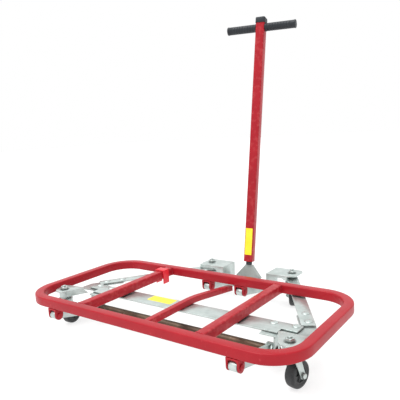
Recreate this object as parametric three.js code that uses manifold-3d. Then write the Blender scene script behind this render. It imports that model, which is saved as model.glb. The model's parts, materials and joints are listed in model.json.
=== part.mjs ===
// Wheel dolly: a low tubular frame on a parallel linkage over a plated base with four casters.
// Tilting the handle back turns the cranks of two cross shafts and lifts the frame level.
// Millimetres. X runs along the long side, Y from the front rail back to the handle, Z up.
// Places are measured from the middle of the frame on the floor; FRAME_CENTRE_Y then moves the
// whole dolly so that its origin is under the middle of its bounding box.

import * as THREE from 'three';
import { mergeVertices } from 'three/addons/utils/BufferGeometryUtils.js';
import Module from 'manifold-3d';

// Whole dolly
const FRAME_CENTRE_Y = -197;
const GAP = 0.3;
const PAST = 5;

// Lift frame: one bent loop of square tube with two crossbars and a two-part centre bar
const FRAME_LENGTH = 1020;
const FRAME_WIDTH = 496;
const FRAME_CORNER_RADIUS = 115;
const FRAME_TOP = 148;
const TUBE = 30;
const TUBE_WALL = 2;
const TUBE_EDGE_RADIUS = 3;
const FRAME_BOTTOM = FRAME_TOP - TUBE;
const RAIL_Y = (FRAME_WIDTH - TUBE) / 2;
const RAIL_INNER_Y = FRAME_WIDTH / 2 - TUBE;
const CROSSBAR_X = 233;
const DRAIN_HOLE = { x: -150, radius: 4 };

const CENTRE_BAR = { x: 25, size: 20, wall: 2, bottom: 114.4, bendY: 30, endY: 249, drop: 30, edge: 1.5 };

const CLIP = { width: 40, wall: 4, front: 160, back: 190, below: 18 };

// Parallel linkage
const SHAFT_RADIUS = 12.5;
const SHAFT_Z = 58;
const FRONT_SHAFT_Y = -50.5;
const CRANK_REACH = 182.5;
const CRANK_RISE = 36;
const REAR_SHAFT_Y = RAIL_Y + CRANK_REACH;
const PIN_Z = SHAFT_Z + CRANK_RISE;
const ARM = { thickness: 10, width: 28, bossWidth: 24, hubRadius: 21, eyeRadius: 14.5 };
const FRONT_ARM_X = 347;
const REAR_ARM = { leftX: -60, rightX: 80 };
const FRONT_SHAFT_HALF = 374;
const REAR_SHAFT_HALF = 102;

const EAR = { thickness: 5, spacing: 32, width: 30, radius: 15, web: 5, arch: 6 };
const PIN = { radius: 6, headRadius: 9, headThickness: 3, tail: 3 };

// Base: flat bars riveted to pressed caster brackets
const BAR_TOP = 114;
const BAR_THICKNESS = 5;
const BAR_BOTTOM = BAR_TOP - BAR_THICKNESS;
const CROSS_BAR = { half: 415, front: -53, back: 17, notchX: 368, notchY: -25 };
const DIAGONAL = { frontX: 423.4, frontY: 30, width: 41 };
const SHEET = 4;
const BRACKET_TOP = 132;
const FRONT_CASTER = { x: 440, y: -121 };
const CORNER_BRACKET = {
  inner: 321, outer: 459, outerBack: 12, outerTurn: 440, tongueX: 371, tongueFront: -68,
  shoulder: { x: 378.5, y: -65 }, rampBack: -28, rampFront: -83, radius: 30, lipBottom: 111, bossRadius: 20,
  strapStart: -34, strapEnd: 86, strapMargin: 4,
};

// The rear casters, their brackets and the rear shaft are set off to the right of the frame's middle.
// Distances across are measured from this line.
const REAR_CENTRE_X = 22;
const REAR_CASTER = { x: 177.5, y: 398 };
const REAR_BRACKET = {
  inner: 94.4, outer: 208, front: 352, back: 438, corner: 20, lipEnd: { left: 205, right: 178 }, lipBottom: 115,
  innerLegBottom: 100, innerLegWidth: 32, outerLegWidth: 11, archTop: 121, archCorner: 9, bossRadius: 18,
  bearingRadius: 18,
};
const HANGER = { inner: 362.5, thickness: 5, topFront: -63, topBack: -30, radius: 20 };

// Swivel casters
const WHEEL_RADIUS = 37.5;
const WHEEL_WIDTH = 28;
const TYRE_SHOULDER = 7;
const TYRE_RECESS = 1;
const SHOULDER_STEPS = 2;
const TYRE_SIDES = 28;
const HUB_RADIUS = 23;
const HUB_RIM = 3;
const HUB_BOSS = 10;
const HUB_DISH = 4;
const CASTER_TRAIL = 24;
const FORK = {
  crownBottom: 94, crownTop: 99.7, crownRadius: 26, legThickness: 3, legHalfTop: 12, legGap: 33,
  eyeRadius: 9.5,
};
const KINGPIN = {
  radius: 6, headRadius: 9, headBottom: 87, collarRadius: 20, nutRadius: 13.5, nutHeight: 10, end: 146,
};
const AXLE = { radius: 4, headRadius: 8, headThickness: 5.5, tail: 3 };

// Where each caster's wheel trails, in degrees anticlockwise from straight back
const SWIVEL = { frontLeft: 8.7, frontRight: -11.5, rearLeft: 40, rearRight: 20 };

// Handle, measured along its own axis up from the rear shaft
const HANDLE_LEAN = THREE.MathUtils.degToRad(10.6);
const HANDLE_TWIST = THREE.MathUtils.degToRad(10);
const YOKE = {
  thickness: 4, halfFoot: 40, footTop: 24, shoulder: 28, halfShoulder: 55, top: 74, halfTop: 14, flange: 9,
  hubRadius: 19,
};
const HANDLE_TUBE = 35;
const HANDLE_EDGE_RADIUS = 4;
const STUB = { radius: 12, top: 87, pinRadius: 8, pinTop: 128, capRadius: 11, capTop: 134 };
const HANDLE_BOTTOM = 87.5;
const HANDLE_TOP = 1046;
const BUSH_TOP = 127.5;
const T_BAR = { height: 1014, radius: 12.5, wall: 2, half: 136.5 };
const GRIP = { radius: 15.5, half: 141.5, rimRadius: 16.2, rimWidth: 5 };
const TOP_CAP = { width: 39, corner: 6, bottom: 1030, top: 1053, chamfer: 4 };

const ROUND = 16;
const HEX = 6;
const SHAFT_SIDES = 24;
const FRAME_CORNER_STEPS = 6;
const ARC_STEPS = 7;
const EDGE_STEPS = 3;

const FINISHES = {
  redPaint: { color: 0xcc2f40, roughness: 0.35, metalness: 0.1 },
  zincPlate: { color: 0xc9d4d0, roughness: 0.4, metalness: 0.8 },
  darkShaft: { color: 0x4b4137, roughness: 0.5, metalness: 0.7 },
  blackSteel: { color: 0x26282a, roughness: 0.5, metalness: 0.5 },
  blackPlastic: { color: 0x303438, roughness: 0.55, metalness: 0 },
  redPlastic: { color: 0xe02030, roughness: 0.4, metalness: 0 },
  rubber: { color: 0x1e2121, roughness: 0.75, metalness: 0 },
  hubPlastic: { color: 0x3a3d3e, roughness: 0.6, metalness: 0 },
  bushPlastic: { color: 0xdedbd0, roughness: 0.6, metalness: 0 },
};

const wasm = await Module();
wasm.setup();

const dolly = new THREE.Group();
dolly.position.y = FRAME_CENTRE_Y;

// ---- Shape helpers

// A closed three.js geometry as a solid that can be cut and joined.
function toSolid(geometry) {
  const bare = geometry.clone();
  bare.deleteAttribute('normal');
  bare.deleteAttribute('uv');
  const merged = mergeVertices(bare);
  return new wasm.Manifold(new wasm.Mesh({
    numProp: 3,
    vertProperties: new Float32Array(merged.attributes.position.array),
    triVerts: new Uint32Array(merged.index.array),
  }));
}

function toGeometry(solid) {
  const mesh = solid.getMesh();
  const geometry = new THREE.BufferGeometry();
  geometry.setAttribute('position', new THREE.BufferAttribute(mesh.vertProperties, 3));
  geometry.setIndex(new THREE.BufferAttribute(mesh.triVerts, 1));
  geometry.computeVertexNormals();
  return geometry;
}

// The mirror image across the plane X = 0, with its triangles still facing out.
function mirrored(geometry) {
  const copy = geometry.clone();
  copy.scale(-1, 1, 1);
  const order = copy.index.array;
  for (let i = 0; i < order.length; i += 3) {
    const second = order[i + 1];
    order[i + 1] = order[i + 2];
    order[i + 2] = second;
  }
  copy.computeVertexNormals();
  return copy;
}

function addPiece(name, geometry, finish, parent = dolly) {
  const mesh = new THREE.Mesh(geometry, new THREE.MeshStandardMaterial(FINISHES[finish]));
  mesh.name = name;
  parent.add(mesh);
}

// The same piece on both sides: built for +X and mirrored for -X.
function addPair(name, geometry, finish) {
  addPiece(`${name}_right`, geometry, finish);
  addPiece(`${name}_left`, mirrored(geometry), finish);
}

function block(x, y, z) {
  const geometry = new THREE.BoxGeometry(x[1] - x[0], y[1] - y[0], z[1] - z[0]);
  geometry.translate((x[0] + x[1]) / 2, (y[0] + y[1]) / 2, (z[0] + z[1]) / 2);
  return toSolid(geometry);
}

// Round bar between two heights along its own axis. The centre gives its place across the axis.
function rod(axis, radius, from, to, centre, sides = ROUND) {
  const geometry = new THREE.CylinderGeometry(radius, radius, to - from, sides);
  geometry.translate(0, (from + to) / 2, 0);
  if (axis === 'x') geometry.rotateZ(-Math.PI / 2);
  if (axis === 'z') geometry.rotateX(Math.PI / 2);
  geometry.translate(...centre);
  return toSolid(geometry);
}

function outlineOf(points) {
  return new THREE.Shape(points.map(([u, v]) => new THREE.Vector2(u, v)));
}

function roundedRectangle(halfU, halfV, radius) {
  const shape = new THREE.Shape();
  shape.absarc(halfU - radius, halfV - radius, radius, 0, Math.PI / 2);
  shape.absarc(radius - halfU, halfV - radius, radius, Math.PI / 2, Math.PI);
  shape.absarc(radius - halfU, radius - halfV, radius, Math.PI, 1.5 * Math.PI);
  shape.absarc(halfU - radius, radius - halfV, radius, 1.5 * Math.PI, 2 * Math.PI);
  shape.closePath();
  return shape;
}

// A bar with two round ends of different radii, as the outline that wraps both circles.
function linkOutline(a, radiusA, b, radiusB) {
  const heading = Math.atan2(b[1] - a[1], b[0] - a[0]);
  const lean = Math.acos((radiusA - radiusB) / Math.hypot(b[0] - a[0], b[1] - a[1]));
  const shape = new THREE.Shape();
  shape.absarc(a[0], a[1], radiusA, heading + lean, heading - lean + 2 * Math.PI);
  shape.absarc(b[0], b[1], radiusB, heading - lean, heading + lean);
  shape.closePath();
  return shape;
}

// Which axes a flat outline's two coordinates and its thickness lie along.
const PLANES = {
  xy: new THREE.Matrix4(),
  yz: new THREE.Matrix4().makeBasis(
    new THREE.Vector3(0, 1, 0), new THREE.Vector3(0, 0, 1), new THREE.Vector3(1, 0, 0)),
  zx: new THREE.Matrix4().makeBasis(
    new THREE.Vector3(0, 0, 1), new THREE.Vector3(1, 0, 0), new THREE.Vector3(0, 1, 0)),
};

function plate(shape, plane, from, thickness, curveSegments = ARC_STEPS) {
  const geometry = new THREE.ExtrudeGeometry(shape, { depth: thickness, bevelEnabled: false, curveSegments });
  geometry.translate(0, 0, from);
  geometry.applyMatrix4(PLANES[plane]);
  return toSolid(geometry);
}

// A plate whose long edges are rounded by the given radius.
function softPlate(shape, plane, from, thickness, edge, curveSegments = ARC_STEPS) {
  const geometry = new THREE.ExtrudeGeometry(shape, {
    depth: thickness - 2 * edge, bevelThickness: edge, bevelSize: edge, bevelOffset: -edge,
    bevelSegments: 2, curveSegments,
  });
  geometry.translate(0, 0, from + edge);
  geometry.applyMatrix4(PLANES[plane]);
  return toSolid(geometry);
}

// Straight square tube with rounded edges, open at both ends, running along Z.
function squareTube(size, wall, edge, from, to) {
  const outer = roundedRectangle(size / 2, size / 2, edge);
  const bore = block([wall - size / 2, size / 2 - wall], [wall - size / 2, size / 2 - wall],
    [from - PAST, to + PAST]);
  return plate(outer, 'xy', from, to - from, EDGE_STEPS).subtract(bore);
}

// ---- Lift frame

function loopOutline(inset) {
  const shape = roundedRectangle(
    FRAME_LENGTH / 2 - inset, FRAME_WIDTH / 2 - inset, FRAME_CORNER_RADIUS - inset);
  const far = TUBE - inset;
  shape.holes.push(roundedRectangle(
    FRAME_LENGTH / 2 - far, FRAME_WIDTH / 2 - far, FRAME_CORNER_RADIUS - far));
  return shape;
}

function frameLoop() {
  const outside = softPlate(loopOutline(0), 'xy', FRAME_BOTTOM, TUBE, TUBE_EDGE_RADIUS, FRAME_CORNER_STEPS);
  const inside = plate(loopOutline(TUBE_WALL), 'xy', FRAME_BOTTOM + TUBE_WALL, TUBE - 2 * TUBE_WALL,
    FRAME_CORNER_STEPS);
  const drain = rod('z', DRAIN_HOLE.radius, FRAME_BOTTOM - PAST, FRAME_BOTTOM + PAST,
    [DRAIN_HOLE.x, RAIL_Y, 0]);
  return toGeometry(outside.subtract(inside).subtract(drain));
}

function crossbar(x) {
  const length = RAIL_INNER_Y - GAP;
  const geometry = toGeometry(squareTube(TUBE, TUBE_WALL, TUBE_EDGE_RADIUS, -length, length));
  geometry.rotateX(Math.PI / 2);
  geometry.translate(x, 0, FRAME_TOP - TUBE / 2);
  return geometry;
}

// Side view of the centre bar: level, then sloping down to pass under the back rail.
function centreBarOutline(inset, past) {
  const { bottom, size, bendY, endY, drop } = CENTRE_BAR;
  const front = GAP - RAIL_INNER_Y - past;
  const back = endY + past;
  const slope = drop / (endY - bendY);
  const low = bottom + inset;
  const high = bottom + size - inset;
  return outlineOf([
    [front, low], [bendY, low], [back, low - slope * (back - bendY)],
    [back, high - slope * (back - bendY)], [bendY, high], [front, high],
  ]);
}

// The part of the centre bar between two places along it. Its two lengths are welded at the bend.
function centreBar(from, to) {
  const { x, size, wall, edge } = CENTRE_BAR;
  const outside = softPlate(centreBarOutline(0, 0), 'yz', x - size / 2, size, edge);
  const bore = plate(centreBarOutline(wall, PAST), 'yz', x - size / 2 + wall, size - 2 * wall);
  return toGeometry(outside.subtract(bore).intersect(block([x - size, x + size], [from, to], [0, FRAME_TOP])));
}

// Two ears that hang from a rail, with an arched web between them, cross-drilled for a pin.
function clevis(x, y) {
  const top = FRAME_BOTTOM - GAP;
  const half = EAR.spacing / 2 + EAR.thickness / 2;
  const ear = outlineOf([
    [y - EAR.width / 2, PIN_Z], [y + EAR.width / 2, PIN_Z],
    [y + EAR.width / 2, top], [y - EAR.width / 2, top],
  ]);
  const body = plate(ear, 'yz', x - half, 2 * half).add(
    rod('x', EAR.radius, x - half, x + half, [0, y, PIN_Z]));
  const archCentre = top - EAR.web - EAR.arch;
  const inner = half - EAR.thickness;
  const mouth = block([x - inner, x + inner], [y - EAR.width, y + EAR.width],
    [PIN_Z - EAR.width, archCentre]);
  const arch = plate(roundedRectangle(EAR.arch, inner, EAR.arch), 'zx', y - EAR.width, 2 * EAR.width);
  const bore = rod('x', PIN.radius + GAP, x - EAR.width, x + EAR.width, [0, y, PIN_Z]);
  return toGeometry(body.subtract(mouth).subtract(arch.translate([x, 0, archCentre])).subtract(bore));
}

function clevisPin(x, y) {
  const half = EAR.spacing / 2 + EAR.thickness / 2 + GAP;
  const shank = rod('x', PIN.radius, x - half - PIN.tail, x + half, [0, y, PIN_Z]);
  const head = rod('x', PIN.headRadius, x + half, x + half + PIN.headThickness, [0, y, PIN_Z]);
  return toGeometry(shank.add(head));
}

// Saddle clip that straddles the back end of the left crossbar.
function handleClip() {
  const inner = TUBE / 2 + GAP;
  const outer = CLIP.width / 2;
  const top = FRAME_TOP + GAP + CLIP.wall;
  const bottom = FRAME_BOTTOM - CLIP.below;
  const saddle = block([-CROSSBAR_X - outer, outer - CROSSBAR_X], [CLIP.front, CLIP.back], [bottom, top]);
  const opening = block([-CROSSBAR_X - inner, inner - CROSSBAR_X], [CLIP.front - PAST, CLIP.back + PAST],
    [bottom - PAST, FRAME_TOP + GAP]);
  return toGeometry(saddle.subtract(opening));
}

function addLiftFrame() {
  addPiece('frame_loop', frameLoop(), 'redPaint');
  addPiece('crossbar_left', crossbar(-CROSSBAR_X), 'redPaint');
  addPiece('crossbar_right', crossbar(CROSSBAR_X), 'redPaint');
  addPiece('centre_bar', centreBar(-FRAME_WIDTH, CENTRE_BAR.bendY - GAP), 'redPaint');
  addPiece('centre_bar_tail', centreBar(CENTRE_BAR.bendY, FRAME_WIDTH), 'redPaint');
  addPiece('handle_clip', handleClip(), 'redPlastic');
  const places = [
    ['front', 'left', -FRONT_ARM_X, -RAIL_Y], ['front', 'right', FRONT_ARM_X, -RAIL_Y],
    ['rear', 'left', REAR_ARM.leftX, RAIL_Y], ['rear', 'right', REAR_ARM.rightX, RAIL_Y],
  ];
  for (const [end, side, x, y] of places) {
    addPiece(`${end}_clevis_${side}`, clevis(x, y), 'redPaint');
    addPiece(`${end}_clevis_pin_${side}`, clevisPin(x, y), 'redPaint');
  }
}

// ---- Cranks: a cross shaft with two lift arms at each end of the base

function liftArm(x, shaftY) {
  const pinY = shaftY - CRANK_REACH;
  const shaft = [0, shaftY, SHAFT_Z];
  const pin = [0, pinY, PIN_Z];
  const blade = plate(
    linkOutline([shaftY, SHAFT_Z], ARM.width / 2 + PAST, [pinY, PIN_Z], ARM.width / 2),
    'yz', x - ARM.thickness / 2, ARM.thickness);
  const half = ARM.bossWidth / 2;
  const hub = rod('x', ARM.hubRadius, x - half, x + half, shaft);
  const eye = rod('x', ARM.eyeRadius, x - half, x + half, pin);
  const shaftBore = rod('x', SHAFT_RADIUS + GAP, x - ARM.bossWidth, x + ARM.bossWidth, shaft);
  const pinBore = rod('x', PIN.radius + GAP, x - ARM.bossWidth, x + ARM.bossWidth, pin);
  return toGeometry(blade.add(hub).add(eye).subtract(shaftBore).subtract(pinBore));
}

function crossShaft(half, x, y) {
  return toGeometry(rod('x', SHAFT_RADIUS, -half, half, [x, y, SHAFT_Z], SHAFT_SIDES));
}

function addCranks() {
  addPiece('front_shaft', crossShaft(FRONT_SHAFT_HALF, 0, FRONT_SHAFT_Y), 'darkShaft');
  addPiece('rear_shaft', crossShaft(REAR_SHAFT_HALF, REAR_CENTRE_X, REAR_SHAFT_Y), 'darkShaft');
  addPiece('front_lift_arm_left', liftArm(-FRONT_ARM_X, FRONT_SHAFT_Y), 'zincPlate');
  addPiece('front_lift_arm_right', liftArm(FRONT_ARM_X, FRONT_SHAFT_Y), 'zincPlate');
  addPiece('rear_lift_arm_left', liftArm(REAR_ARM.leftX, REAR_SHAFT_Y), 'zincPlate');
  addPiece('rear_lift_arm_right', liftArm(REAR_ARM.rightX, REAR_SHAFT_Y), 'zincPlate');
}

// ---- Base

function baseCrossBar() {
  const { half, front, back, notchX, notchY } = CROSS_BAR;
  const outline = outlineOf([
    [-half, back], [-half, notchY], [-notchX, notchY], [-notchX, front],
    [notchX, front], [notchX, notchY], [half, notchY], [half, back],
  ].reverse());
  return toGeometry(plate(outline, 'xy', BAR_BOTTOM, BAR_THICKNESS));
}

// The line of the right-hand diagonal bar, from the cross bar's end to a kingpin at the given X.
function diagonalLine(rearX) {
  const front = new THREE.Vector2(DIAGONAL.frontX, DIAGONAL.frontY);
  const rear = new THREE.Vector2(rearX, REAR_CASTER.y);
  const along = rear.clone().sub(front).normalize();
  const inward = along.clone().rotateAround(new THREE.Vector2(), Math.PI / 2);
  const at = (forward, sideways) => {
    const point = front.clone().addScaledVector(along, forward).addScaledVector(inward, sideways);
    return [point.x, point.y];
  };
  return { rear, heading: along.angle(), at };
}

// Flat bar from the end of the cross bar to the rear kingpin, where its end is round and drilled.
function diagonalBar(rearX) {
  const { rear, heading, at } = diagonalLine(rearX);
  const half = DIAGONAL.width / 2;
  const shape = new THREE.Shape();
  shape.moveTo(...at(0, half));
  shape.lineTo(...at(0, -half));
  shape.absarc(rear.x, rear.y, half, heading - Math.PI / 2, heading + Math.PI / 2);
  shape.closePath();
  const bore = rod('z', KINGPIN.radius + GAP, BAR_BOTTOM - PAST, BAR_TOP + PAST, [rear.x, rear.y, 0]);
  const squareEnd = block([0, FRAME_LENGTH], [CROSS_BAR.back + GAP, FRAME_LENGTH],
    [BAR_BOTTOM - PAST, BAR_TOP + PAST]);
  return toGeometry(plate(shape, 'xy', BAR_BOTTOM, BAR_THICKNESS).subtract(bore).intersect(squareEnd));
}

// Pressed plate riveted under the bar ends: a level part with a strap under the diagonal bar and a
// tongue over the shaft hanger, and beside the tongue a ramp up to the caster's kingpin, with a
// turned-down lip on its inner edge.
function cornerBracket(rearX) {
  const { inner, outer, outerBack, outerTurn, tongueX, tongueFront, shoulder } = CORNER_BRACKET;
  const { rampBack, rampFront, radius, lipBottom, bossRadius } = CORNER_BRACKET;
  const { strapStart, strapEnd, strapMargin } = CORNER_BRACKET;
  const { x, y } = FRONT_CASTER;
  const level = BAR_BOTTOM - GAP;
  const front = y - 2 * radius;
  const levelPlan = outlineOf([
    [outer, outerBack], [outerTurn, CROSS_BAR.back], [inner, CROSS_BAR.back], [inner, tongueFront],
    [tongueX, tongueFront], [tongueX, rampBack], [outer, rampBack],
  ]);
  const { at } = diagonalLine(rearX);
  const half = DIAGONAL.width / 2;
  const strapPlan = outlineOf([
    at(strapStart, -half), at(strapEnd, -half), at(strapEnd, half + strapMargin),
    at(strapStart, half + strapMargin),
  ]);
  const rampProfile = outlineOf([
    [rampBack + PAST, level], [rampBack, level], [rampFront, BRACKET_TOP], [front, BRACKET_TOP],
    [front, BRACKET_TOP - SHEET], [rampFront, BRACKET_TOP - SHEET], [rampBack, level - SHEET],
    [rampBack + PAST, level - SHEET],
  ]);
  const lipTop = BRACKET_TOP - SHEET / 2;
  const lipProfile = outlineOf([
    [front, lipBottom], [shoulder.y, lipBottom], [rampFront, lipTop], [front, lipTop],
  ]);
  const away = new THREE.Vector2(shoulder.x - x, shoulder.y - y);
  const tangentAngle = away.angle() + Math.acos(radius / away.length());
  const outward = new THREE.Vector2(Math.cos(tangentAngle), Math.sin(tangentAngle));
  const rampPlan = new THREE.Shape();
  rampPlan.moveTo(tongueX, rampBack + PAST);
  rampPlan.lineTo(tongueX, rampBack);
  rampPlan.lineTo(shoulder.x, shoulder.y);
  rampPlan.absarc(x, y, radius, tangentAngle, 2 * Math.PI);
  rampPlan.lineTo(outer, rampBack);
  rampPlan.lineTo(outer, rampBack + PAST);
  rampPlan.closePath();
  const lipFace = radius - SHEET;
  const lipPlan = outlineOf([
    [shoulder.x, shoulder.y],
    [x + outward.x * radius, y + outward.y * radius],
    [x + outward.x * lipFace, y + outward.y * lipFace],
    [shoulder.x - outward.x * SHEET, shoulder.y - outward.y * SHEET],
  ]);
  const ramp = plate(rampProfile, 'yz', 0, FRAME_LENGTH).intersect(plate(rampPlan, 'xy', 0, FRAME_TOP));
  const lip = plate(lipProfile, 'yz', 0, FRAME_LENGTH).intersect(plate(lipPlan, 'xy', 0, FRAME_TOP));
  const boss = rod('z', bossRadius, level - SHEET, BRACKET_TOP - SHEET / 2, [x, y, 0]);
  const bore = rod('z', KINGPIN.radius + GAP, 0, FRAME_TOP, [x, y, 0]);
  return toGeometry(plate(levelPlan, 'xy', level - SHEET, SHEET)
    .add(plate(strapPlan, 'xy', level - SHEET, SHEET))
    .add(ramp).add(lip).add(boss).subtract(bore));
}

// Hanging plate under the corner bracket that carries one end of the front shaft.
function shaftHanger() {
  const { inner, thickness, topFront, topBack, radius } = HANGER;
  const top = BAR_BOTTOM - GAP - SHEET - GAP;
  const web = outlineOf([
    [FRONT_SHAFT_Y - radius, SHAFT_Z], [FRONT_SHAFT_Y + radius, SHAFT_Z], [topBack, top], [topFront, top],
  ]);
  const eye = rod('x', radius, inner, inner + thickness, [0, FRONT_SHAFT_Y, SHAFT_Z]);
  const bore = rod('x', SHAFT_RADIUS + GAP, 0, FRAME_LENGTH, [0, FRONT_SHAFT_Y, SHAFT_Z]);
  return toGeometry(plate(web, 'yz', inner, thickness).add(eye).subtract(bore));
}

// Channel over the rear kingpin: a top plate, an arched front lip and an inner bearing plate
// that carries the rear shaft.
function rearBracket(lipEnd) {
  const { inner, outer, front, back, corner, lipBottom } = REAR_BRACKET;
  const { innerLegBottom, innerLegWidth, outerLegWidth, archTop, archCorner } = REAR_BRACKET;
  const { bossRadius, bearingRadius } = REAR_BRACKET;
  const { x, y } = REAR_CASTER;
  const plan = new THREE.Shape();
  plan.moveTo(inner, front);
  plan.lineTo(lipEnd, front);
  plan.absarc(outer - corner, y - corner, corner, -Math.PI / 4, 0);
  plan.absarc(outer - corner, back - corner, corner, 0, Math.PI / 2);
  plan.lineTo(inner, back);
  plan.closePath();
  const archInner = inner + innerLegWidth;
  const archOuter = lipEnd - outerLegWidth;
  const lip = outlineOf([
    [BRACKET_TOP, inner], [innerLegBottom, inner], [innerLegBottom, archInner],
    [archTop - archCorner, archInner], [archTop, archInner + archCorner], [archTop, archOuter - archCorner],
    [lipBottom, archOuter], [lipBottom, lipEnd], [BRACKET_TOP, lipEnd],
  ]);
  const bearing = outlineOf([
    [front, BRACKET_TOP], [front, innerLegBottom],
    [REAR_SHAFT_Y - bearingRadius, SHAFT_Z], [REAR_SHAFT_Y + bearingRadius, SHAFT_Z],
    [back, BRACKET_TOP - corner], [back, BRACKET_TOP],
  ]);
  const boss = rod('z', bossRadius, BAR_TOP + GAP, BRACKET_TOP - SHEET / 2, [x, y, 0]);
  const kingpinBore = rod('z', KINGPIN.radius + GAP, 0, FRAME_TOP, [x, y, 0]);
  const shaftBore = rod('x', SHAFT_RADIUS + GAP, 0, FRAME_LENGTH, [0, REAR_SHAFT_Y, SHAFT_Z]);
  const eye = rod('x', bearingRadius, inner, inner + SHEET, [0, REAR_SHAFT_Y, SHAFT_Z]);
  return toGeometry(plate(plan, 'xy', BRACKET_TOP - SHEET, SHEET)
    .add(plate(lip, 'zx', front, SHEET))
    .add(plate(bearing, 'yz', inner, SHEET))
    .add(eye).add(boss).subtract(kingpinBore).subtract(shaftBore));
}

function addBase() {
  addPiece('base_cross_bar', baseCrossBar(), 'zincPlate');
  const rightX = REAR_CASTER.x + REAR_CENTRE_X;
  const leftX = REAR_CASTER.x - REAR_CENTRE_X;
  addPiece('diagonal_bar_right', diagonalBar(rightX), 'zincPlate');
  addPiece('diagonal_bar_left', mirrored(diagonalBar(leftX)), 'zincPlate');
  addPiece('corner_bracket_right', cornerBracket(rightX), 'zincPlate');
  addPiece('corner_bracket_left', mirrored(cornerBracket(leftX)), 'zincPlate');
  addPair('shaft_hanger', shaftHanger(), 'zincPlate');
  addPiece('rear_bracket_right', rearBracket(REAR_BRACKET.lipEnd.right)
    .translate(REAR_CENTRE_X, 0, 0), 'zincPlate');
  addPiece('rear_bracket_left', mirrored(rearBracket(REAR_BRACKET.lipEnd.left))
    .translate(REAR_CENTRE_X, 0, 0), 'zincPlate');
}

// ---- Casters, each built with its kingpin on the Z axis and its wheel trailing along +Y

// Bolt through the bracket and the fork crown, with a collar that fills the space between them.
function kingpin(stackBottom) {
  const { radius, headRadius, headBottom, collarRadius, nutRadius, nutHeight, end } = KINGPIN;
  const headTop = FORK.crownBottom - GAP;
  const nutBottom = BRACKET_TOP + GAP;
  return toGeometry(rod('z', radius, headBottom, end, [0, 0, 0])
    .add(rod('z', headRadius, headBottom, headTop, [0, 0, 0]))
    .add(rod('z', collarRadius, FORK.crownTop + GAP, stackBottom - GAP, [0, 0, 0]))
    .add(rod('z', nutRadius, nutBottom, nutBottom + nutHeight, [0, 0, 0], HEX)));
}

function fork() {
  const { crownBottom, crownTop, crownRadius, legThickness, legHalfTop, legGap, eyeRadius } = FORK;
  const crown = rod('z', crownRadius, crownBottom, crownTop, [0, 0, 0]);
  const leg = outlineOf([
    [-legHalfTop, crownTop], [CASTER_TRAIL - eyeRadius, WHEEL_RADIUS],
    [CASTER_TRAIL + eyeRadius, WHEEL_RADIUS], [legHalfTop, crownTop],
  ]);
  const legOuter = legGap / 2 + legThickness;
  const legs = plate(leg, 'yz', -legOuter, 2 * legOuter)
    .add(rod('x', eyeRadius, -legOuter, legOuter, [0, CASTER_TRAIL, WHEEL_RADIUS]));
  const space = block([-legGap / 2, legGap / 2], [-2 * crownRadius, 2 * crownRadius], [0, crownBottom]);
  const axleBore = rod('x', AXLE.radius + GAP, -legGap, legGap, [0, CASTER_TRAIL, WHEEL_RADIUS]);
  const pinBore = rod('z', KINGPIN.radius + GAP, 0, FRAME_TOP, [0, 0, 0]);
  return toGeometry(crown.add(legs).subtract(space).subtract(axleBore).subtract(pinBore));
}

function axleBolt() {
  const centre = [0, CASTER_TRAIL, WHEEL_RADIUS];
  const { radius, headRadius, headThickness, tail } = AXLE;
  const seat = FORK.legGap / 2 + FORK.legThickness + GAP;
  return toGeometry(rod('x', radius, -seat - headThickness - tail, seat + headThickness, centre)
    .add(rod('x', headRadius, seat, seat + headThickness, centre, HEX))
    .add(rod('x', headRadius, -seat - headThickness, -seat, centre, HEX)));
}

// A body of revolution around the caster's axle. Profile points are (radius, place along the axle).
function aroundAxle(profile, sides) {
  const geometry = new THREE.LatheGeometry(profile.map(([r, x]) => new THREE.Vector2(r, x)), sides);
  geometry.rotateZ(-Math.PI / 2);
  geometry.translate(0, CASTER_TRAIL, WHEEL_RADIUS);
  return toGeometry(toSolid(geometry));
}

function tyre() {
  const inner = HUB_RADIUS + GAP;
  const half = WHEEL_WIDTH / 2;
  const shoulder = WHEEL_RADIUS - TYRE_SHOULDER;
  const round = [];
  for (let step = 0; step <= SHOULDER_STEPS; step += 1) {
    const angle = (Math.PI / 2) * (step / SHOULDER_STEPS);
    round.push([shoulder + TYRE_SHOULDER * Math.cos(angle),
      half - TYRE_SHOULDER + TYRE_SHOULDER * Math.sin(angle)]);
  }
  const farSide = round.map(([r, x]) => [r, -x]).reverse();
  return aroundAxle([
    [inner, TYRE_RECESS - half], ...farSide, ...round, [inner, half - TYRE_RECESS],
    [inner, TYRE_RECESS - half],
  ], TYRE_SIDES);
}

function wheelHub() {
  const half = WHEEL_WIDTH / 2;
  const bossHalf = FORK.legGap / 2 - 2 * GAP;
  const bore = AXLE.radius + GAP;
  const rim = HUB_RADIUS - HUB_RIM;
  return aroundAxle([
    [bore, -bossHalf], [bore, bossHalf], [HUB_BOSS, bossHalf], [HUB_BOSS, half - HUB_DISH],
    [rim, half - HUB_DISH], [rim, half - TYRE_RECESS], [HUB_RADIUS, half - TYRE_RECESS],
    [HUB_RADIUS, TYRE_RECESS - half], [rim, TYRE_RECESS - half], [rim, HUB_DISH - half],
    [HUB_BOSS, HUB_DISH - half], [HUB_BOSS, -bossHalf], [bore, -bossHalf],
  ].reverse(), ROUND);
}

function addCaster(place, x, y, heading, stackBottom) {
  const caster = new THREE.Group();
  caster.position.set(x, y, 0);
  caster.rotation.z = THREE.MathUtils.degToRad(heading);
  dolly.add(caster);
  addPiece(`kingpin_${place}`, kingpin(stackBottom), 'zincPlate', caster);
  addPiece(`caster_fork_${place}`, fork(), 'zincPlate', caster);
  addPiece(`axle_bolt_${place}`, axleBolt(), 'zincPlate', caster);
  addPiece(`tyre_${place}`, tyre(), 'rubber', caster);
  addPiece(`wheel_hub_${place}`, wheelHub(), 'hubPlastic', caster);
}

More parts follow.
